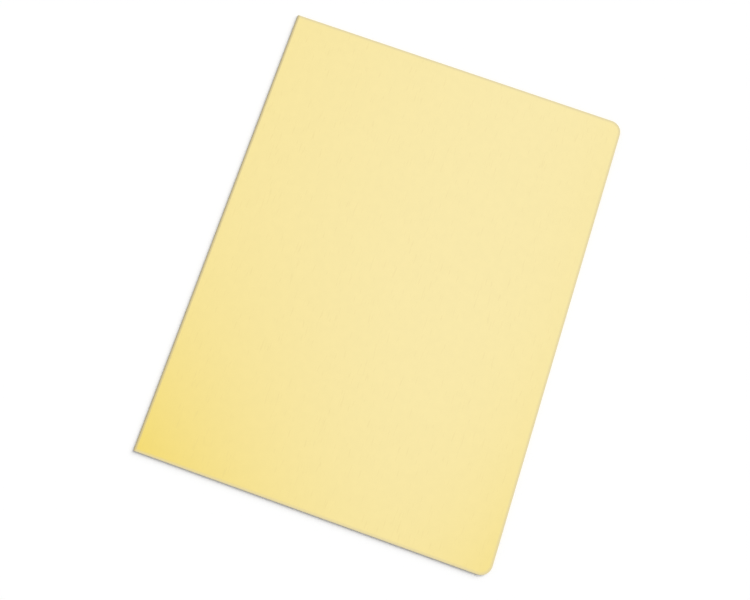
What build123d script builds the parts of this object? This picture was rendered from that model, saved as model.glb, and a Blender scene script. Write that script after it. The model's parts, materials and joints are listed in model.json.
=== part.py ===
"""A flush cut manila folder, closed and lying on its back cover.

Millimetres, +Z up. X runs from the fold to the free edge and Y runs along the fold.
The origin is the middle of the folder's footprint, on the surface that it lies on.
"""

import os

from build123d import *

# Driving dimensions of the folder
folder_width = 240.0
folder_height = 320.0
card_thickness = 0.35
gap_between_covers = 0.8
free_corner_radius = 8.0

# Angle in degrees that the card turns through at the fold: 0 lies open, 180 is closed
fold_angle = 180.0

# The card bends about one line, the hinge line, midway between the closed covers.
# It keeps its thickness round the bend, so the crease is a band concentric with that line.
crease_inner_radius = gap_between_covers / 2
crease_outer_radius = crease_inner_radius + card_thickness
hinge_x = crease_outer_radius - folder_width / 2
hinge_z = crease_outer_radius
hinge_line = Axis((hinge_x, 0, hinge_z), (0, 1, 0))

# Each cover reaches from the hinge line, where the bend ends, to the free edge.
cover_reach = folder_width / 2 - hinge_x

# Both covers are drawn on the outer face of the card, with the fold along the local Y axis.
# The front cover's plane is the back cover's, turned about the hinge line with the fold.
hinge_plane = Plane(origin=(hinge_x, 0, hinge_z))
back_face = hinge_plane.offset(-crease_outer_radius)
front_face = hinge_plane.rotated((0, fold_angle, 0)).offset(-crease_outer_radius)


def cover_outline(fold_side, free_side):
    """Draw one cover from the fold outwards: square corners there, rounded at the free edge.

    fold_side says which side of the rectangle lies on the fold, and free_side which group
    of corners, counted along X, is at the free edge.
    """
    Rectangle(cover_reach, folder_height, align=(fold_side, Align.CENTER))
    fillet(vertices().group_by(Axis.X)[free_side], radius=free_corner_radius)


# Back cover: the half of the sheet that lies on the table
with BuildPart() as back_cover:
    with BuildSketch(back_face):
        cover_outline(Align.MIN, -1)
    extrude(amount=card_thickness)

# Front cover: the other half, cut to the same outline, so that the closed covers are flush
with BuildPart() as front_cover:
    with BuildSketch(front_face):
        cover_outline(Align.MAX, 0)
    extrude(amount=card_thickness)

# Crease: the section of the sheet at the back cover's edge, turned about the hinge line.
# Its two ends meet the covers' edges face to face.
with BuildPart() as crease:
    with BuildSketch(Plane.YZ.offset(hinge_x)):
        Rectangle(folder_height, card_thickness, align=(Align.CENTER, Align.MIN))
    revolve(axis=hinge_line, revolution_arc=fold_angle)

back_cover.part.label = "back_cover"
front_cover.part.label = "front_cover"
crease.part.label = "crease"

os.makedirs("parts", exist_ok=True)
export_step(back_cover.part, "parts/back_cover.step")
export_step(front_cover.part, "parts/front_cover.step")
export_step(crease.part, "parts/crease.step")
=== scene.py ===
"""Looks of a closed manila folder: card covers, the bent crease, and a plain studio."""

import json
import math

import bmesh
import bpy
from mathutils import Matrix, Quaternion, Vector


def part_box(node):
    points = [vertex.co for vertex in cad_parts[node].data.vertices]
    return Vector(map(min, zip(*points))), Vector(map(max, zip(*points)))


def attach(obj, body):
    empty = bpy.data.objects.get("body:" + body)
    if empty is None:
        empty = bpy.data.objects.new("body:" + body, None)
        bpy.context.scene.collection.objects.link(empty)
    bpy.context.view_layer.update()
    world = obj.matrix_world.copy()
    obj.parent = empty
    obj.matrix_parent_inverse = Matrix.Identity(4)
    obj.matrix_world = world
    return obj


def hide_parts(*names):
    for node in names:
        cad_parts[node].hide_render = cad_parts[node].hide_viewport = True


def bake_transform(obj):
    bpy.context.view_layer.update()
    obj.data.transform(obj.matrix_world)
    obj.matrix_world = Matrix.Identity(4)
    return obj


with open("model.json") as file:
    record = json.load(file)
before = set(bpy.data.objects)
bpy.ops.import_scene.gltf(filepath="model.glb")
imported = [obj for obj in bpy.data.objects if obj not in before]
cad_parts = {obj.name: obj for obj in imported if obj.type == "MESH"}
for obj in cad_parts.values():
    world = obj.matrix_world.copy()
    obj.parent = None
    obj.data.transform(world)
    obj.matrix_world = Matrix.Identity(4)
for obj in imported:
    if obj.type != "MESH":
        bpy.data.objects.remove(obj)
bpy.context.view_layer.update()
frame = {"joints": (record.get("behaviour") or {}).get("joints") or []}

bl_info = {
    "name": "Manila Folder",
    "version": (1, 0, 0),
    "blender": (4, 5, 0),
    "location": "View3D > Sidebar > Folder",
    "description": "Models a flush cut manila folder in card, with a studio to show it in",
    "category": "Object",
}

MILLIMETRE = 0.001

# Places and sizes that the solid model settles, in metres
BACK_LOW, BACK_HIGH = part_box("back_cover")
FRONT_LOW, FRONT_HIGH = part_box("front_cover")
CREASE_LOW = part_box("crease")[0]
HINGE = Vector(frame["joints"][0]["pos_m"])
CARD_THICKNESS = BACK_HIGH.z - BACK_LOW.z
COVER_LENGTH = BACK_HIGH.y - BACK_LOW.y
COVER_REACH = BACK_HIGH.x - HINGE.x
HALF_GAP = FRONT_LOW.z - HINGE.z
BEND_RADIUS = HALF_GAP + CARD_THICKNESS / 2

# Angle between two faces above which their edge is a sharp one, and below which it is smooth
SHARP_ANGLE = math.radians(60)
SMOOTH_ANGLE = math.radians(15)

# Part of a face's normal along an axis from which the face counts as facing that way
FACING = math.cos(SHARP_ANGLE)

# Distance within which two places on the card count as one, and within which points are merged
SAME_PLACE = 0.005 * MILLIMETRE
MERGE_DISTANCE = 0.001 * MILLIMETRE

# Profile of a bevel that makes a round corner
ROUND_PROFILE = 0.5

# Chord of a quarter turn, as a share of its radius
QUARTER_CHORD_SHARE = math.sqrt(2)

# Share of a step round the bend, on either side of the middle, that counts as the middle
MIDDLE_STEP_SHARE = 0.6

# Depth of the crease's ends, as a share of the rim's rounding
CREASE_END_SHARE = 1.5

# Reach of the tuck at the crease's ends, as a share of the bend's radius
TUCK_REACH_SHARE = 1.5

# How much shorter the crease is than the covers, as a share of its tuck
CREASE_SHORT_SHARE = 0.25

# Stretch along the sheet, in which the fibres and the grain of machine made card mostly lie
FIBRE_STRETCH = 11
GRAIN_STRETCH = 2.2

# Two sets of fibres that cross: the turn of each, and a shift that keeps its pattern apart
FIBRE_SETS = ((math.radians(12.0), 0.0), (math.radians(-25.0), 3.7))

# Values of a noise between which the fibres, the clouds and the cut edge's layers come out
FIBRE_CREST_SHARES = (0.69, 0.74)
CLOUD_SHARES = (0.25, 0.75)
LAYER_SHARES = (0.3, 0.7)

# Middle value of a noise
NOISE_MIDDLE = 0.5

# Strength of the bump that the grain makes, and the cut edge's layers
GRAIN_BUMP = 0.6
LAYER_BUMP = 0.5

# Size of the waves in the limits of the bands of painted shade along the rim and the fold
BAND_WAVE = 1 * MILLIMETRE

# Share of a band's width over which it has its full strength
BAND_CORE_SHARE = 0.4

# Layers that show in the card's cut edge
CARD_LAYERS = 8

# Width of the studio floor in metres, and how far below the folder it lies
FLOOR_SIZE = 8
FLOOR_DROP = 0.01 * MILLIMETRE

# Layout of the nodes in the shader editor
NODE_COLUMNS = 12
NODE_SPACING = (200, 250)

# Numbers of the Mix node's sockets for its factor, its two colours and its result
MIX_FACTOR = 0
MIX_UNDER = 6
MIX_OVER = 7
MIX_RESULT = 2


class FolderShape(bpy.types.PropertyGroup):
    """Sizes of the card that the solid model leaves to the modeller"""

    corner_radius: bpy.props.FloatProperty(
        name="Corner radius",
        description="Radius of the rounded corners at the free edge",
        default=8 * MILLIMETRE,
        min=MILLIMETRE,
        max=20 * MILLIMETRE,
        subtype="DISTANCE",
        unit="LENGTH",
    )
    corner_steps: bpy.props.IntProperty(
        name="Corner steps",
        description="Straight steps that make up one rounded corner",
        default=18,
        min=4,
        max=64,
    )
    rim_round: bpy.props.FloatProperty(
        name="Rim rounding",
        description="How far the die has rounded the cut edges of the card",
        default=0.06 * MILLIMETRE,
        min=0.01 * MILLIMETRE,
        max=0.15 * MILLIMETRE,
        subtype="DISTANCE",
        unit="LENGTH",
    )
    rim_steps: bpy.props.IntProperty(
        name="Rim steps",
        description="Straight steps across the rounding of a cut edge",
        default=2,
        min=1,
        max=6,
    )
    front_bow: bpy.props.FloatProperty(
        name="Front cover bow",
        description="How far the middle of the front cover's free edge settles inwards",
        default=0.3 * MILLIMETRE,
        min=0.0,
        max=0.4 * MILLIMETRE,
        subtype="DISTANCE",
        unit="LENGTH",
    )
    back_bow: bpy.props.FloatProperty(
        name="Back cover bow",
        description="How far the middle of the back cover's free edge lifts inwards",
        default=0.15 * MILLIMETRE,
        min=0.0,
        max=0.3 * MILLIMETRE,
        subtype="DISTANCE",
        unit="LENGTH",
    )
    bow_reach: bpy.props.FloatProperty(
        name="Bow reach",
        description="Distance from the middle of the free edge at which the bow dies out",
        default=150 * MILLIMETRE,
        min=20 * MILLIMETRE,
        max=220 * MILLIMETRE,
        subtype="DISTANCE",
        unit="LENGTH",
    )
    panel_step: bpy.props.FloatProperty(
        name="Panel step",
        description="Distance between the cross cuts that let the card bow",
        default=10 * MILLIMETRE,
        min=4 * MILLIMETRE,
        max=60 * MILLIMETRE,
        subtype="DISTANCE",
        unit="LENGTH",
    )
    crease_steps: bpy.props.IntProperty(
        name="Crease steps",
        description="Straight steps round the bend of the crease",
        default=32,
        min=8,
        max=96,
    )
    bend_press: bpy.props.FloatProperty(
        name="Bend press",
        description="How far the creasing rule has pressed the bend in from either side",
        default=0.025 * MILLIMETRE,
        min=0.0,
        max=0.1 * MILLIMETRE,
        subtype="DISTANCE",
        unit="LENGTH",
    )
    bend_tuck: bpy.props.FloatProperty(
        name="Bend tuck",
        description="How far the bend draws in at each end of the fold",
        default=0.08 * MILLIMETRE,
        min=0.0,
        max=0.3 * MILLIMETRE,
        subtype="DISTANCE",
        unit="LENGTH",
    )


class CardFinish(bpy.types.PropertyGroup):
    """Colours and surface of the manila card"""

    card_colour: bpy.props.FloatVectorProperty(
        name="Card",
        description="Buff yellow of the card where it is palest",
        default=(0.942, 0.813, 0.413),
        min=0.0,
        max=1.0,
        subtype="COLOR",
    )
    # Painted shade: this deeper yellow stands in for the light falling off towards the foot of the
    # fold
    painted_shade_colour: bpy.props.FloatVectorProperty(
        name="Painted shade",
        description="Deeper yellow that the card turns to at the foot of the fold",
        default=(0.894, 0.700, 0.158),
        min=0.0,
        max=1.0,
        subtype="COLOR",
    )
    # Painted shade: this greyer buff stands in for the shade along the card's cut edges
    rim_shade_colour: bpy.props.FloatVectorProperty(
        name="Rim shade",
        description="Greyer buff where the card's rim is rubbed by handling",
        default=(0.75, 0.65, 0.37),
        min=0.0,
        max=1.0,
        subtype="COLOR",
    )
    # Painted shade: this brown stands in for the shade on the fold's rounded outside, and for the
    # shadow in the groove inside it
    fold_shade_colour: bpy.props.FloatVectorProperty(
        name="Fold shade",
        description="Brown of the bruised fibres along the fold",
        default=(0.62, 0.52, 0.28),
        min=0.0,
        max=1.0,
        subtype="COLOR",
    )
    # Painted shade: the cut edges are coloured darker and browner than the faces, standing in for
    # the shade along them
    cut_colour: bpy.props.FloatVectorProperty(
        name="Cut edge",
        description="Brownish core of the card, which its cut edges show",
        default=(0.62, 0.50, 0.26),
        min=0.0,
        max=1.0,
        subtype="COLOR",
    )
    layer_shade: bpy.props.FloatProperty(
        name="Layer shade",
        description="Brightness of the darker layers in a cut edge, as a share of its colour",
        default=0.72,
        min=0.0,
        max=1.0,
        subtype="FACTOR",
    )
    fibre_colour: bpy.props.FloatVectorProperty(
        name="Fibres",
        description="Brownish fibres scattered through the card",
        default=(0.72, 0.55, 0.22),
        min=0.0,
        max=1.0,
        subtype="COLOR",
    )
    fibre_spacing: bpy.props.FloatProperty(
        name="Fibre spacing",
        description="Rough distance between the scattered fibres, across the sheet",
        default=1 * MILLIMETRE,
        min=0.2 * MILLIMETRE,
        max=10 * MILLIMETRE,
        subtype="DISTANCE",
        unit="LENGTH",
    )
    fibre_strength: bpy.props.FloatProperty(
        name="Fibre strength",
        description="How clearly the scattered fibres show",
        default=0.12,
        min=0.0,
        max=1.0,
        subtype="FACTOR",
    )
    cloud_size: bpy.props.FloatProperty(
        name="Cloud size",
        description="Size of the clouds in the card's formation",
        default=6 * MILLIMETRE,
        min=MILLIMETRE,
        max=50 * MILLIMETRE,
        subtype="DISTANCE",
        unit="LENGTH",
    )
    mottle_strength: bpy.props.FloatProperty(
        name="Mottle strength",
        description="How far the cloudy formation of the card changes its brightness",
        default=0.008,
        min=0.0,
        max=0.3,
        subtype="FACTOR",
    )
    # Painted shade: the band below is shade painted into the card along its cut edges
    rim_width: bpy.props.FloatProperty(
        name="Rim width",
        description="Width of the rubbed band along the cut edges",
        default=2.4 * MILLIMETRE,
        min=0.2 * MILLIMETRE,
        max=6 * MILLIMETRE,
        subtype="DISTANCE",
        unit="LENGTH",
    )
    rim_strength: bpy.props.FloatProperty(
        name="Rim strength",
        description="How far the card takes the rubbed rim's colour at its very edge",
        default=0.9,
        min=0.0,
        max=1.0,
        subtype="FACTOR",
    )
    # Painted shade: width of the painted rim shade on the inside, as a share of that on the outside
    inside_rim_share: bpy.props.FloatProperty(
        name="Inside rim share",
        description="Width of the rubbed band on the inside, as a share of that on the outside",
        default=0.6,
        min=0.1,
        max=1.0,
        subtype="FACTOR",
    )
    # Painted shade: the band below is shade painted along the outside of the fold
    fold_width: bpy.props.FloatProperty(
        name="Fold width",
        description="Width of the bruised band along the fold, as seen from above",
        default=2.2 * MILLIMETRE,
        min=0.2 * MILLIMETRE,
        max=6 * MILLIMETRE,
        subtype="DISTANCE",
        unit="LENGTH",
    )
    fold_strength: bpy.props.FloatProperty(
        name="Fold strength",
        description="How far the card takes the fold line's colour on the outside of the fold",
        default=0.85,
        min=0.0,
        max=1.0,
        subtype="FACTOR",
    )
    # Painted shadow: the line below is shadow painted into the groove inside the fold
    crease_line_width: bpy.props.FloatProperty(
        name="Crease line width",
        description="How far the pressed line inside the folder reaches on either side of the bend",
        default=1.1 * MILLIMETRE,
        min=0.2 * MILLIMETRE,
        max=4 * MILLIMETRE,
        subtype="DISTANCE",
        unit="LENGTH",
    )
    crease_line_strength: bpy.props.FloatProperty(
        name="Crease line strength",
        description="How far the card takes the fold line's colour on the inside of the fold",
        default=0.7,
        min=0.0,
        max=1.0,
        subtype="FACTOR",
    )
    band_unevenness: bpy.props.FloatProperty(
        name="Band unevenness",
        description="How far the limits of the rubbed and bruised bands wander",
        default=1.4 * MILLIMETRE,
        min=0.0,
        max=4 * MILLIMETRE,
        subtype="DISTANCE",
        unit="LENGTH",
    )
    roughness: bpy.props.FloatProperty(
        name="Roughness",
        description="How matt the card is",
        default=0.78,
        min=0.3,
        max=1.0,
        subtype="FACTOR",
    )
    specular: bpy.props.FloatProperty(
        name="Specular level",
        description="How strongly the card's surface reflects light",
        default=0.3,
        min=0.0,
        max=1.0,
        subtype="FACTOR",
    )
    grain_size: bpy.props.FloatProperty(
        name="Grain size",
        description="Size of the paper grain",
        default=0.4 * MILLIMETRE,
        min=0.05 * MILLIMETRE,
        max=3 * MILLIMETRE,
        subtype="DISTANCE",
        unit="LENGTH",
    )
    grain_depth: bpy.props.FloatProperty(
        name="Grain depth",
        description="Height of the paper grain",
        default=0.012 * MILLIMETRE,
        min=0.0,
        max=0.1 * MILLIMETRE,
        subtype="DISTANCE",
        unit="LENGTH",
    )


class StudioSetup(bpy.types.PropertyGroup):
    """Camera, light and floor"""

    lens: bpy.props.FloatProperty(
        name="Lens",
        description="Focal length of the camera",
        default=50.0,
        min=20.0,
        max=200.0,
        unit="CAMERA",
    )
    azimuth: bpy.props.FloatProperty(
        name="Azimuth",
        description="Turn of the camera round the folder, zero looks along +Y",
        default=math.radians(11.851),
        subtype="ANGLE",
        unit="ROTATION",
    )
    elevation: bpy.props.FloatProperty(
        name="Elevation",
        description="Height of the camera above the horizon",
        default=math.radians(77.421),
        subtype="ANGLE",
        unit="ROTATION",
    )
    roll: bpy.props.FloatProperty(
        name="Roll",
        description="Turn of the camera about its own line of sight",
        default=math.radians(7.613),
        subtype="ANGLE",
        unit="ROTATION",
    )
    distance: bpy.props.FloatProperty(
        name="Distance",
        description="Distance from the camera to the point that it looks at",
        default=0.70147,
        min=0.1,
        subtype="DISTANCE",
        unit="LENGTH",
    )
    target: bpy.props.FloatVectorProperty(
        name="Target",
        description="Point on the front cover that the camera looks at",
        default=(-0.06478, 0.00658, FRONT_HIGH.z),
        subtype="TRANSLATION",
        unit="LENGTH",
    )
    shift: bpy.props.FloatVectorProperty(
        name="Shift",
        description="Shift of the camera's frame across and up, as a share of its width",
        default=(0.10, -0.08),
        size=2,
    )
    key_strength: bpy.props.FloatProperty(
        name="Key strength",
        description="Strength of the soft key lamp",
        default=2.942,
        min=0.0,
    )
    key_softness: bpy.props.FloatProperty(
        name="Key softness",
        description="Angle that the key lamp fills, which softens its shadows",
        default=math.radians(50.0),
        subtype="ANGLE",
        unit="ROTATION",
    )
    key_azimuth: bpy.props.FloatProperty(
        name="Key azimuth",
        description="Direction of the key lamp from +X towards +Y",
        default=math.radians(50.0),
        subtype="ANGLE",
        unit="ROTATION",
    )
    key_elevation: bpy.props.FloatProperty(
        name="Key elevation",
        description="Height of the key lamp above the horizon",
        default=math.radians(36.0),
        subtype="ANGLE",
        unit="ROTATION",
    )
    sky_strength: bpy.props.FloatProperty(
        name="Sky strength",
        description="Strength of the even white light from all round",
        default=0.45,
        min=0.0,
    )
    floor_tone: bpy.props.FloatProperty(
        name="Floor tone",
        description="Tone of the pale floor by which it lights the folder",
        default=0.8,
        min=0.0,
        max=1.0,
        subtype="FACTOR",
    )
    floor_white: bpy.props.FloatProperty(
        name="Floor white",
        description="Tone of the floor as the camera sees it",
        default=0.97,
        min=0.0,
        max=1.0,
        subtype="FACTOR",
    )
    floor_glow: bpy.props.FloatProperty(
        name="Floor glow",
        description="Faint glow that brings the floor up to full white as the camera sees it",
        default=0.035,
        min=0.0,
        max=0.5,
    )


# Edit mode


def start_clean():
    """Leave edit mode with nothing selected."""
    if bpy.context.mode != "OBJECT":
        bpy.ops.object.mode_set(mode="OBJECT")
    bpy.ops.object.select_all(action="DESELECT")


def items_of(mesh, kind):
    """The vertices, edges or faces of a mesh."""
    return {"VERT": mesh.verts, "EDGE": mesh.edges, "FACE": mesh.faces}[kind]


def pick(kind, wanted):
    """Select the vertices, edges or faces of the mesh in edit mode that pass the test."""
    mesh = bmesh.from_edit_mesh(bpy.context.object.data)
    bpy.ops.mesh.select_all(action="DESELECT")
    bpy.ops.mesh.select_mode(type=kind)
    for item in items_of(mesh, kind):
        item.select_set(bool(wanted(item)))
    mesh.select_flush_mode()
    bmesh.update_edit_mesh(bpy.context.object.data)


def drop(kind, unwanted):
    """Deselect the vertices, edges or faces of the mesh in edit mode that pass the test."""
    mesh = bmesh.from_edit_mesh(bpy.context.object.data)
    for item in items_of(mesh, kind):
        if item.select and unwanted(item):
            item.select_set(False)
    bmesh.update_edit_mesh(bpy.context.object.data)


def cross_cut(low, high, step, normal):
    """Cut the whole mesh across at even steps from low to high along the normal."""
    cuts = round((high - low) / step)
    for number in range(1, cuts):
        place = low + (high - low) * number / cuts
        bpy.ops.mesh.select_all(action="SELECT")
        bpy.ops.mesh.bisect(plane_co=normal * place, plane_no=normal)


def settle(name):
    """Name the finished piece, put its origin at the frame's, and shade its gentle bends smooth."""
    piece = bpy.context.object
    piece.name = name
    piece.data.name = name
    bpy.ops.object.transform_apply(location=True, rotation=True, scale=True)
    bpy.ops.object.shade_smooth_by_angle(angle=SMOOTH_ANGLE)
    return piece


# Shader nodes


def put(tree, kind, inputs=None, **settings):
    """Add a node, with its settings and its sockets' values or links.

    A socket is given by its name, or by its number where names repeat.
    """
    node = tree.nodes.new("ShaderNode" + kind)
    for name, value in settings.items():
        setattr(node, name, value)
    for name, value in (inputs or {}).items():
        if isinstance(value, bpy.types.NodeSocket):
            tree.links.new(value, node.inputs[name])
        else:
            node.inputs[name].default_value = value
    row, column = divmod(len(tree.nodes), NODE_COLUMNS)
    node.location = (NODE_SPACING[0] * column, -NODE_SPACING[1] * row)
    return node


def reckon(tree, operation, *values, clamp=False):
    """Add a Math node and give its result."""
    inputs = dict(enumerate(values))
    return put(tree, "Math", inputs, operation=operation, use_clamp=clamp).outputs[0]


def ramp(tree, value, low, high, to_low=0.0, to_high=1.0):
    """Ease a value from one range to another."""
    inputs = {
        "Value": value,
        "From Min": low,
        "From Max": high,
        "To Min": to_low,
        "To Max": to_high,
    }
    return put(tree, "MapRange", inputs, interpolation_type="SMOOTHSTEP").outputs["Result"]


def tint(tree, factor, under, over, way="MIX"):
    """Lay one colour over another."""
    mix = put(tree, "Mix", data_type="RGBA", blend_type=way)
    sockets = {MIX_FACTOR: factor, MIX_UNDER: under, MIX_OVER: over}
    for number, value in sockets.items():
        if isinstance(value, bpy.types.NodeSocket):
            tree.links.new(value, mix.inputs[number])
        elif isinstance(value, float):
            mix.inputs[number].default_value = value
        else:
            mix.inputs[number].default_value = (*value, 1.0)
    return mix.outputs[MIX_RESULT]


def new_group(name, inputs, outputs):
    """Start a shader node group, and give it with its input and output sockets."""
    group = bpy.data.node_groups.new(name, "ShaderNodeTree")
    for label, default in inputs.items():
        socket = group.interface.new_socket(
            name=label, in_out="INPUT", socket_type="NodeSocketFloat"
        )
        socket.default_value = default
    for label in outputs:
        group.interface.new_socket(name=label, in_out="OUTPUT", socket_type="NodeSocketFloat")
    start = group.nodes.new("NodeGroupInput")
    end = group.nodes.new("NodeGroupOutput")
    return group, start.outputs, end.inputs


def place_group(tree, group, **inputs):
    """Place a node group in a material, with the values that are the material's own."""
    node = tree.nodes.new("ShaderNodeGroup")
    node.node_tree = group
    for name, value in inputs.items():
        node.inputs[name.replace("_", " ").capitalize()].default_value = value
    return node.outputs


def object_place(tree):
    """The point being shaded, on the piece itself."""
    return put(tree, "TexCoord").outputs["Object"]


def noise(tree, place, scale, detail, roughness=0.5):
    """Add a noise texture with the given scale per metre, and give its value."""
    inputs = {"Vector": place, "Scale": scale, "Detail": detail, "Roughness": roughness}
    return put(tree, "TexNoise", inputs).outputs[0]


def per_metre(tree, size):
    """How often a size fits into a metre, which is the scale of a noise of that size."""
    return reckon(tree, "DIVIDE", 1.0, size)


def grey(tone):
    """A grey of the given tone, as a shader's colour socket takes it."""
    return (tone, tone, tone, 1.0)


# Card finish


def paper_group():
    """Cloudy formation, scattered fibres and fine grain of machine made card."""
    made = bpy.data.node_groups.get("paper fibres")
    if made:
        return made
    finish = bpy.context.scene.card_finish
    group, given, wanted = new_group(
        "paper fibres",
        {
            "Grain size": finish.grain_size,
            "Cloud size": finish.cloud_size,
            "Fibre spacing": finish.fibre_spacing,
        },
        ("Cloud", "Fibres", "Grain"),
    )
    place = object_place(group)
    clouds = per_metre(group, given["Cloud size"])
    cloud = noise(group, place, clouds, detail=3.0, roughness=0.6)
    group.links.new(cloud, wanted["Cloud"])

    # Only the crests of the noise show as fibres
    strands = per_metre(group, given["Fibre spacing"])
    sets = []
    for turn, shift in FIBRE_SETS:
        laid = put(
            group,
            "Mapping",
            {
                "Vector": place,
                "Location": (shift, shift, 0.0),
                "Rotation": (0.0, 0.0, turn),
                "Scale": (1.0, 1 / FIBRE_STRETCH, 1.0),
            },
        ).outputs[0]
        strand = noise(group, laid, strands, detail=1.0)
        sets.append(ramp(group, strand, *FIBRE_CREST_SHARES))
    group.links.new(reckon(group, "MAXIMUM", *sets), wanted["Fibres"])

    stretched = put(group, "Mapping", {"Vector": place, "Scale": (1.0, 1 / GRAIN_STRETCH, 1.0)})
    grains = per_metre(group, given["Grain size"])
    grain = noise(group, stretched.outputs[0], grains, detail=4.0, roughness=0.65)
    group.links.new(grain, wanted["Grain"])
    return group


def painted_shade_group():
    """Painted shade: the yellow deepens where the light falls off, towards the edges of the outside
    and most at the foot of the fold.
    """
    made = bpy.data.node_groups.get("card painted shade")
    if made:
        return made
    group, given, wanted = new_group(
        "card painted shade",
        {
            "Fold side": 0.25,
            "Foot": 0.05,
            "Foot of fold": 0.69,
            "Free edge": 0.125,
            "Foot of free edge": 0.4,
            "Fold falloff": 1.67,
            "Foot falloff": 3.5,
            "Free falloff": 4.8,
        },
        ("Tone",),
    )
    place = put(group, "SeparateXYZ", {0: object_place(group)}).outputs
    from_fold = reckon(group, "SUBTRACT", place["X"], HINGE.x)
    across = reckon(group, "DIVIDE", from_fold, COVER_REACH, clamp=True)
    from_head = reckon(group, "SUBTRACT", BACK_HIGH.y, place["Y"])
    down = reckon(group, "DIVIDE", from_head, COVER_LENGTH, clamp=True)
    to_fold = reckon(group, "SUBTRACT", 1.0, across)
    near_fold = reckon(group, "POWER", to_fold, given["Fold falloff"])
    near_foot = reckon(group, "POWER", down, given["Foot falloff"])
    near_free = reckon(group, "POWER", across, given["Free falloff"])
    parts = (
        (near_fold, given["Fold side"]),
        (near_foot, given["Foot"]),
        (reckon(group, "MULTIPLY", near_fold, near_foot), given["Foot of fold"]),
        (near_free, given["Free edge"]),
        (reckon(group, "MULTIPLY", near_free, near_foot), given["Foot of free edge"]),
    )
    total = 0.0
    for mask, weight in parts:
        total = reckon(group, "MULTIPLY_ADD", mask, weight, total)
    group.links.new(total, wanted["Tone"])
    return group


def edges_group():
    """Masks for the bands of painted shade along the cut edges, along the outside of the fold and
    along the inside of it.
    """
    made = bpy.data.node_groups.get("card edges")
    if made:
        return made
    finish = bpy.context.scene.card_finish
    group, given, wanted = new_group(
        "card edges",
        {
            "Rim width": finish.rim_width,
            "Fold width": finish.fold_width,
            "Crease line width": finish.crease_line_width,
            "Unevenness": finish.band_unevenness,
        },
        ("Rim", "Fold", "Crease line"),
    )
    point = object_place(group)
    place = put(group, "SeparateXYZ", {0: point}).outputs
    radius = bpy.context.scene.folder_shape.corner_radius
    uneven = noise(group, point, 1 / BAND_WAVE, detail=6.0, roughness=0.75)
    wander = reckon(group, "SUBTRACT", uneven, NOISE_MIDDLE)
    stray = reckon(group, "MULTIPLY", wander, given["Unevenness"])

    # Distance inwards from the three cut sides, which meet in round corners at the free edge
    past_x = reckon(group, "SUBTRACT", place["X"], BACK_HIGH.x - radius)
    from_middle = reckon(group, "ABSOLUTE", place["Y"])
    past_y = reckon(group, "SUBTRACT", from_middle, BACK_HIGH.y - radius)
    corner = put(
        group,
        "CombineXYZ",
        {
            "X": reckon(group, "MAXIMUM", past_x, 0.0),
            "Y": reckon(group, "MAXIMUM", past_y, 0.0),
        },
    ).outputs[0]
    round_part = put(group, "VectorMath", {0: corner}, operation="LENGTH").outputs["Value"]
    straight_part = reckon(group, "MINIMUM", reckon(group, "MAXIMUM", past_x, past_y), 0.0)
    outwards = reckon(group, "ADD", round_part, straight_part)
    inwards = reckon(group, "SUBTRACT", radius, outwards)

    # Distance from the outermost line of the fold, and to either side of the hinge line
    from_fold = reckon(group, "SUBTRACT", place["X"], CREASE_LOW.x)
    beside = reckon(group, "ABSOLUTE", reckon(group, "SUBTRACT", place["X"], HINGE.x))

    # Each band, the distance that it fades with, and the share of its width at full strength
    bands = (
        ("Rim", reckon(group, "ADD", inwards, stray), 0.0),
        ("Fold", reckon(group, "ADD", from_fold, stray), BAND_CORE_SHARE),
        ("Crease line", beside, BAND_CORE_SHARE),
    )
    for label, distance, core_share in bands:
        width = given[label + " width"]
        core = reckon(group, "MULTIPLY", width, core_share)
        band = ramp(group, distance, core, width, to_low=1.0, to_high=0.0)
        group.links.new(band, wanted[label])
    return group


def start_material(name):
    """A material with its Principled shader, and the values that are the same all over."""
    finish = bpy.context.scene.card_finish
    material = bpy.data.materials.new(name)
    material.use_nodes = True
    shader = material.node_tree.nodes["Principled BSDF"]
    shader.inputs["Roughness"].default_value = finish.roughness
    shader.inputs["Specular IOR Level"].default_value = finish.specular
    return material, material.node_tree, shader


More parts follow.
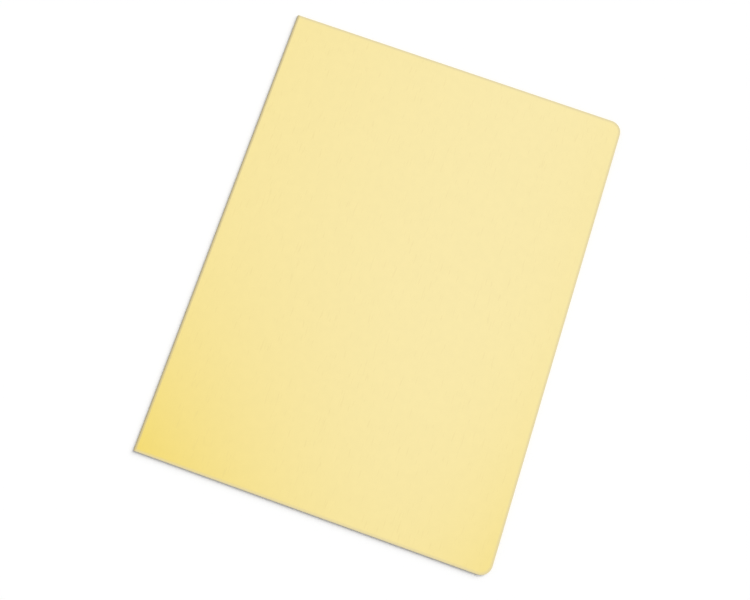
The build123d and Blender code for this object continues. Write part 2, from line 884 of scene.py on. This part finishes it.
def card_material(side):
    """Face of the card, on the outside or the inside of the folder.

    Both are buff and faintly fibrous, with painted shade along the rim. The outside has painted
    shade that deepens its yellow towards the foot of the fold and a band of painted shade along the
    fold, and the inside has only a line of painted shadow in the groove of the fold.
    """
    name = "manila_card_" + side
    made = bpy.data.materials.get(name)
    if made:
        return made
    finish = bpy.context.scene.card_finish
    material, tree, shader = start_material(name)
    outside = side == "outside"
    rim_share = 1.0 if outside else finish.inside_rim_share
    paper = place_group(tree, paper_group())
    edges = place_group(tree, edges_group(), rim_width=finish.rim_width * rim_share)
    colour = finish.card_colour
    if outside:
        # Painted shade: the outside's yellow deepens where the light falls off, most at the foot of
        # the fold
        painted_shade = place_group(tree, painted_shade_group())
        colour = tint(tree, painted_shade["Tone"], colour, finish.painted_shade_colour)
    fibres = reckon(tree, "MULTIPLY", paper["Fibres"], finish.fibre_strength)
    colour = tint(tree, fibres, colour, finish.fibre_colour)
    shade = ramp(
        tree,
        paper["Cloud"],
        *CLOUD_SHARES,
        to_low=1.0 - finish.mottle_strength,
        to_high=1.0 + finish.mottle_strength,
    )
    shade_colour = put(tree, "CombineColor", {0: shade, 1: shade, 2: shade}).outputs[0]
    colour = tint(tree, 1.0, colour, shade_colour, way="MULTIPLY")
    # Painted shade along the cut edges of the card
    darkened = reckon(tree, "MULTIPLY", edges["Rim"], finish.rim_strength)
    colour = tint(tree, darkened, colour, finish.rim_shade_colour)
    # Painted shade along the outside of the fold, and painted shadow in the groove inside it
    if outside:
        shadowed = reckon(tree, "MULTIPLY", edges["Fold"], finish.fold_strength)
    else:
        shadowed = reckon(tree, "MULTIPLY", edges["Crease line"], finish.crease_line_strength)
    colour = tint(tree, shadowed, colour, finish.fold_shade_colour)
    tree.links.new(colour, shader.inputs["Base Color"])
    bump = put(
        tree,
        "Bump",
        {"Strength": GRAIN_BUMP, "Distance": finish.grain_depth, "Height": paper["Grain"]},
    )
    tree.links.new(bump.outputs[0], shader.inputs["Normal"])
    return material


def cut_material():
    """Cut edge of the card: darker and browner than the faces, as painted shade along the edges, in
    thin layers.
    """
    made = bpy.data.materials.get("manila_card_cut")
    if made:
        return made
    finish = bpy.context.scene.card_finish
    material, tree, shader = start_material("manila_card_cut")
    # Streaks as long as the card is thick, and a layer deep
    streaks = (1.0, 1.0, CARD_LAYERS)
    layered = put(tree, "Mapping", {"Vector": object_place(tree), "Scale": streaks}).outputs[0]
    layers = noise(tree, layered, 1 / CARD_THICKNESS, detail=3.0, roughness=0.6)
    shaded = [channel * finish.layer_shade for channel in finish.cut_colour]
    colour = tint(tree, ramp(tree, layers, *LAYER_SHARES), shaded, finish.cut_colour)
    tree.links.new(colour, shader.inputs["Base Color"])
    half_layer = CARD_THICKNESS / CARD_LAYERS / 2
    bump = put(
        tree,
        "Bump",
        {"Strength": LAYER_BUMP, "Distance": half_layer, "Height": layers},
    )
    tree.links.new(bump.outputs[0], shader.inputs["Normal"])
    return material


def dress(piece):
    """Give a piece the card's outside, its inside, and the cut edge where the die went through."""
    outside, inside, cut = range(3)
    piece.data.materials.clear()
    for material in (card_material("outside"), card_material("inside"), cut_material()):
        piece.data.materials.append(material)
    is_crease = piece.name.startswith("crease")
    for face in piece.data.polygons:
        normal, middle = face.normal, face.center
        cut_through = abs(normal.y) > FACING if is_crease else abs(normal.z) < FACING
        joins_crease = abs(middle.x - HINGE.x) < SAME_PLACE and abs(normal.x) > FACING
        # The inside looks towards the hinge line at the bend, and towards its level on the covers
        from_hinge = Vector((min(middle.x - HINGE.x, 0), 0, middle.z - HINGE.z))
        if cut_through and not joins_crease:
            face.material_index = cut
        else:
            face.material_index = inside if from_hinge.dot(normal) < 0 else outside


# Pieces of the folder


class FOLDER_OT_add_covers(bpy.types.Operator):
    """Model the back cover and the front cover, each cut from flat card"""

    bl_idname = "folder.add_covers"
    bl_label = "Add covers"
    bl_options = {"REGISTER", "UNDO"}

    def cut_outline(self, shape, low, high, level):
        """Cut one cover's outer face: a rectangle with its free corners rounded."""
        middle = (low + high) / 2
        bpy.ops.mesh.primitive_plane_add(size=1, location=(middle.x, middle.y, level))
        bpy.ops.object.mode_set(mode="EDIT")
        bpy.ops.transform.resize(value=(high.x - low.x, high.y - low.y, 1))
        pick("VERT", lambda vertex: vertex.co.x > 0)
        bpy.ops.mesh.bevel(
            offset=shape.corner_radius,
            segments=shape.corner_steps,
            profile=ROUND_PROFILE,
            affect="VERTICES",
        )
        cross_cut(low.x, high.x, shape.panel_step, Vector((1, 0, 0)))
        cross_cut(low.y, high.y, shape.panel_step, Vector((0, 1, 0)))

    def bow(self, shape, lift):
        """Press or lift the middle of the free edge, with the card following softly."""
        mesh = bmesh.from_edit_mesh(bpy.context.object.data)
        edge_x = max(vertex.co.x for vertex in mesh.verts)
        nearest = min(mesh.verts, key=lambda v: (edge_x - v.co.x) + abs(v.co.y))
        pick("VERT", lambda vertex: vertex == nearest)
        bpy.ops.transform.translate(
            value=(0, 0, lift),
            use_proportional_edit=True,
            proportional_edit_falloff="SMOOTH",
            proportional_size=shape.bow_reach,
        )

    def thicken(self, side):
        """Give the cut sheet the card's thickness, growing along +Z or -Z."""
        bpy.ops.object.mode_set(mode="OBJECT")
        solid = bpy.context.object.modifiers.new("card", "SOLIDIFY")
        solid.thickness = CARD_THICKNESS
        solid.offset = side
        solid.use_even_offset = True
        bpy.ops.object.modifier_apply(modifier=solid.name)

    def round_rim(self, shape, fold_x):
        """Round the cut edges, and leave the fold side square to meet the crease."""
        bpy.ops.object.mode_set(mode="EDIT")
        bpy.ops.mesh.select_mode(type="EDGE")
        bpy.ops.mesh.select_all(action="DESELECT")
        bpy.ops.mesh.edges_select_sharp(sharpness=SHARP_ANGLE)
        end_x = fold_x - bpy.context.object.location.x
        drop("EDGE", lambda edge: all(abs(v.co.x - end_x) < SAME_PLACE for v in edge.verts))
        bpy.ops.mesh.bevel(
            offset=shape.rim_round,
            segments=shape.rim_steps,
            profile=ROUND_PROFILE,
            affect="EDGES",
            clamp_overlap=False,
        )
        bpy.ops.object.mode_set(mode="OBJECT")

    def execute(self, context):
        shape = context.scene.folder_shape
        # Node, body, box, level of the outer face, way in which the card thickens, and bow
        covers = (
            ("back_cover", "back", BACK_LOW, BACK_HIGH, BACK_LOW.z, 1, shape.back_bow),
            ("front_cover", "front", FRONT_LOW, FRONT_HIGH, FRONT_HIGH.z, -1, -shape.front_bow),
        )
        for node, body, low, high, outer_level, side, lift in covers:
            start_clean()
            self.cut_outline(shape, low, high, outer_level)
            self.bow(shape, lift)
            self.thicken(side)
            self.round_rim(shape, low.x)
            piece = settle(node + "_card")
            dress(piece)
            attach(piece, body)
            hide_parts(node)
        return {"FINISHED"}


class FOLDER_OT_add_crease(bpy.types.Operator):
    """Model the crease: the card's section spun about the hinge line"""

    bl_idname = "folder.add_crease"
    bl_label = "Add crease"
    bl_options = {"REGISTER", "UNDO"}

    def nudge(self, among, wanted, shift, reach):
        """Move the wanted vertices, with those near them among the given ones following softly."""
        pick("VERT", among)
        bpy.ops.mesh.hide(unselected=True)
        pick("VERT", wanted)
        bpy.ops.transform.translate(
            value=shift,
            use_proportional_edit=True,
            proportional_edit_falloff="SMOOTH",
            proportional_size=reach,
        )
        bpy.ops.mesh.reveal(select=False)

    def work_the_bend(self, shape):
        """Press the middle of the bend thinner, and draw its two ends in a little."""
        middle = BEND_RADIUS * math.pi / shape.crease_steps * MIDDLE_STEP_SHARE
        end_y = COVER_LENGTH / 2 - shape.rim_round * CREASE_END_SHARE

        def radius(vertex):
            return math.hypot(vertex.co.x - HINGE.x, vertex.co.z - HINGE.z)

        def in_middle(vertex):
            return not vertex.hide and abs(vertex.co.z - HINGE.z) < middle

        # The press dies out where the bend meets the covers, a quarter turn from its middle
        self.nudge(
            lambda vertex: radius(vertex) > BEND_RADIUS,
            in_middle,
            (shape.bend_press, 0, 0),
            (HALF_GAP + CARD_THICKNESS) * QUARTER_CHORD_SHARE,
        )
        self.nudge(
            lambda vertex: radius(vertex) < BEND_RADIUS,
            in_middle,
            (-shape.bend_press, 0, 0),
            HALF_GAP * QUARTER_CHORD_SHARE,
        )
        for side in (-1, 1):
            self.nudge(
                lambda vertex: vertex.co.y * side > end_y,
                in_middle,
                (0, -side * shape.bend_tuck, 0),
                BEND_RADIUS * TUCK_REACH_SHARE,
            )

    def execute(self, context):
        shape = context.scene.folder_shape
        start_clean()
        bpy.ops.mesh.primitive_plane_add(
            size=1,
            location=(HINGE.x, 0, CARD_THICKNESS / 2),
            rotation=(0, math.radians(90), 0),
        )
        bpy.ops.object.transform_apply(location=True, rotation=True, scale=False)
        bpy.ops.object.mode_set(mode="EDIT")
        # A little shorter than the covers, so that its ends never lie in one plane with theirs
        length = COVER_LENGTH - shape.bend_tuck * CREASE_SHORT_SHARE
        bpy.ops.transform.resize(value=(1, length, CARD_THICKNESS))
        pick("VERT", lambda vertex: True)
        bpy.ops.mesh.bevel(
            offset=shape.rim_round,
            segments=shape.rim_steps,
            profile=ROUND_PROFILE,
            affect="VERTICES",
        )
        cross_cut(BACK_LOW.y, BACK_HIGH.y, shape.panel_step, Vector((0, 1, 0)))
        bpy.ops.mesh.select_all(action="SELECT")
        bpy.ops.mesh.spin(
            steps=shape.crease_steps,
            angle=math.pi,
            center=HINGE,
            axis=(0, -1, 0),
        )
        bpy.ops.mesh.select_all(action="SELECT")
        bpy.ops.mesh.remove_doubles(threshold=MERGE_DISTANCE)
        bpy.ops.mesh.normals_make_consistent(inside=False)
        self.work_the_bend(shape)
        bpy.ops.object.mode_set(mode="OBJECT")
        piece = settle("crease_card")
        dress(piece)
        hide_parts("crease")
        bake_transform(piece)
        return {"FINISHED"}


# Studio


class FOLDER_OT_add_stage(bpy.types.Operator):
    """Set up the floor, the soft light, the white surround and the camera"""

    bl_idname = "folder.add_stage"
    bl_label = "Add stage"
    bl_options = {"REGISTER", "UNDO"}

    def seen_directly(self, tree):
        """Whether a ray is one through which the background itself is seen."""
        path = put(tree, "LightPath").outputs
        seen = reckon(tree, "ADD", path["Is Camera Ray"], path["Is Glossy Ray"], clamp=True)
        return reckon(tree, "ADD", seen, path["Is Transmission Ray"], clamp=True)

    def add_floor(self, studio):
        """A large pale floor that looks white where the light reaches it."""
        start_clean()
        bpy.ops.mesh.primitive_plane_add(size=FLOOR_SIZE, location=(0, 0, -FLOOR_DROP))
        floor = bpy.context.object
        floor.name = "studio_floor"
        material = bpy.data.materials.new("studio_floor")
        material.use_nodes = True
        tree = material.node_tree
        tree.nodes.clear()
        plain = put(tree, "BsdfDiffuse", {"Color": grey(studio.floor_tone)}).outputs[0]
        white = put(tree, "BsdfDiffuse", {"Color": grey(studio.floor_white)}).outputs[0]
        glow = put(tree, "Emission", {"Strength": studio.floor_glow}).outputs[0]
        bright = put(tree, "AddShader", {0: white, 1: glow}).outputs[0]
        mix = put(tree, "MixShader", {0: self.seen_directly(tree), 1: plain, 2: bright})
        put(tree, "OutputMaterial", {"Surface": mix.outputs[0]})
        floor.data.materials.append(material)

    def add_key(self, studio):
        """A broad soft lamp from the upper right, far enough away to light evenly."""
        level = math.cos(studio.key_elevation)
        direction = Vector(
            (
                level * math.cos(studio.key_azimuth),
                level * math.sin(studio.key_azimuth),
                math.sin(studio.key_elevation),
            )
        )
        lamp = bpy.data.lights.new("key_lamp", "SUN")
        lamp.energy = studio.key_strength
        lamp.angle = studio.key_softness
        holder = bpy.data.objects.new("key_lamp", lamp)
        holder.location = direction
        holder.rotation_euler = direction.to_track_quat("Z", "Y").to_euler()
        bpy.context.scene.collection.objects.link(holder)

    def add_surround(self, studio):
        """Even light from all round, seen as plain white."""
        world = bpy.data.worlds.new("studio_surround")
        bpy.context.scene.world = world
        world.use_nodes = True
        tree = world.node_tree
        tree.nodes.clear()
        light = put(tree, "Background", {"Color": grey(1.0), "Strength": studio.sky_strength})
        white = put(tree, "Background", {"Color": grey(1.0), "Strength": 1.0})
        inputs = {0: self.seen_directly(tree), 1: light.outputs[0], 2: white.outputs[0]}
        mix = put(tree, "MixShader", inputs)
        put(tree, "OutputWorld", {"Surface": mix.outputs[0]})

    def add_camera(self, studio):
        """The photograph's point of view."""
        data = bpy.data.cameras.new("studio_camera")
        data.lens = studio.lens
        data.shift_x, data.shift_y = studio.shift
        camera = bpy.data.objects.new("studio_camera", data)
        level = math.cos(studio.elevation)
        back = Vector(
            (
                level * math.sin(studio.azimuth),
                -level * math.cos(studio.azimuth),
                math.sin(studio.elevation),
            )
        )
        camera.location = Vector(studio.target) + back * studio.distance
        upright = (-back).to_track_quat("-Z", "Y")
        camera.rotation_mode = "QUATERNION"
        camera.rotation_quaternion = upright @ Quaternion((0, 0, 1), studio.roll)
        bpy.context.scene.collection.objects.link(camera)
        bpy.context.scene.camera = camera

    def execute(self, context):
        studio = context.scene.studio_setup
        self.add_floor(studio)
        self.add_key(studio)
        self.add_surround(studio)
        self.add_camera(studio)
        context.scene.view_settings.view_transform = "Standard"
        return {"FINISHED"}


# Panel and registration


class FOLDER_PT_panel(bpy.types.Panel):
    """Sidebar panel with the folder's sizes, finish and studio"""

    bl_idname = "FOLDER_PT_panel"
    bl_label = "Manila Folder"
    bl_space_type = "VIEW_3D"
    bl_region_type = "UI"
    bl_category = "Folder"

    def draw(self, context):
        for group_name, group in GROUPS.items():
            box = self.layout.box()
            for name in group.__annotations__:
                box.prop(getattr(context.scene, group_name), name)
        for operator in OPERATORS:
            self.layout.operator(operator.bl_idname)


OPERATORS = (FOLDER_OT_add_covers, FOLDER_OT_add_crease, FOLDER_OT_add_stage)
GROUPS = {
    "folder_shape": FolderShape,
    "card_finish": CardFinish,
    "studio_setup": StudioSetup,
}


def register():
    """Make the settings, the operators and the panel known."""
    for name, group in GROUPS.items():
        bpy.utils.register_class(group)
        setattr(bpy.types.Scene, name, bpy.props.PointerProperty(type=group))
    for cls in (*OPERATORS, FOLDER_PT_panel):
        bpy.utils.register_class(cls)


def unregister():
    """Take the panel, the operators and the settings away again."""
    for cls in (FOLDER_PT_panel, *OPERATORS):
        bpy.utils.unregister_class(cls)
    for name, group in GROUPS.items():
        delattr(bpy.types.Scene, name)
        bpy.utils.unregister_class(group)


def main():
    """Build the folder and its studio."""
    register()
    bpy.ops.folder.add_covers()
    bpy.ops.folder.add_crease()
    bpy.ops.folder.add_stage()


if __name__ == "__main__":
    main()
